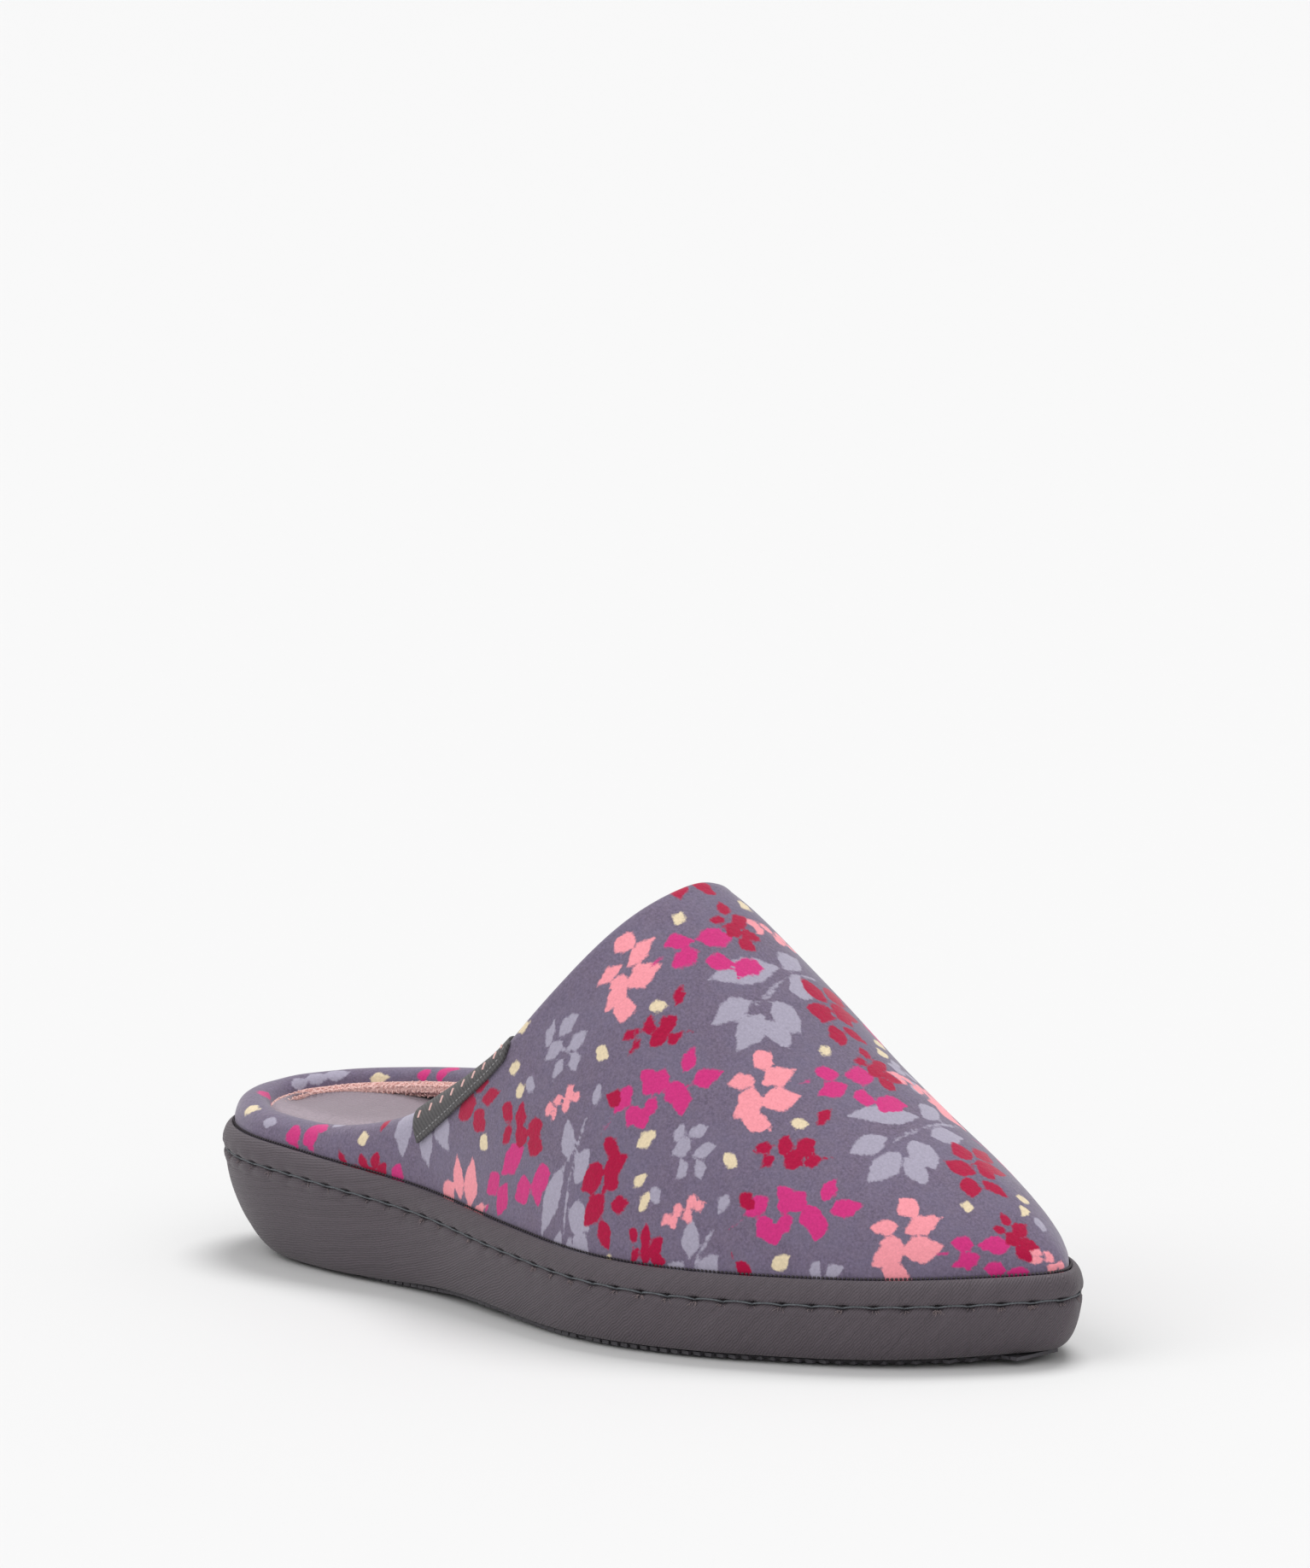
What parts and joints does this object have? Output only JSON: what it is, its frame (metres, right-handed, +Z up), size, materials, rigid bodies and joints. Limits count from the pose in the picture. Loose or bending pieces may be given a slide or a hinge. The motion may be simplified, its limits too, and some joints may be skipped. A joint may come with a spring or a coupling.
{
  "type": "scuff slipper",
  "caption": "Low-backed scuff slipper for a right foot, with a printed padded fabric upper, velour footbed and a cloth-wrapped wedge sole on a rubber tread.",
  "frame": {"origin": "middle of the footprint's length and width, on the floor", "axes": "+X from the heel to the toe, -Y towards the outer side of the right foot, +Z up from the floor"},
  "size_m": [0.2586, 0.0942, 0.0979],
  "materials": {
    "rubber": "matt moulded rubber",
    "twill": "grey twill cloth with a slight sheen",
    "print_velour": "brushed velour printed with leaf sprigs",
    "footbed_velour": "soft plain velour",
    "woven_tape": "plain woven tape"
  },
  "bodies": {
    "root": {"outsole": "rubber", "platform": "twill", "rand": "twill", "upper": "print_velour", "insole": "footbed_velour", "label": "woven_tape"}
  },
  "joints": []
}
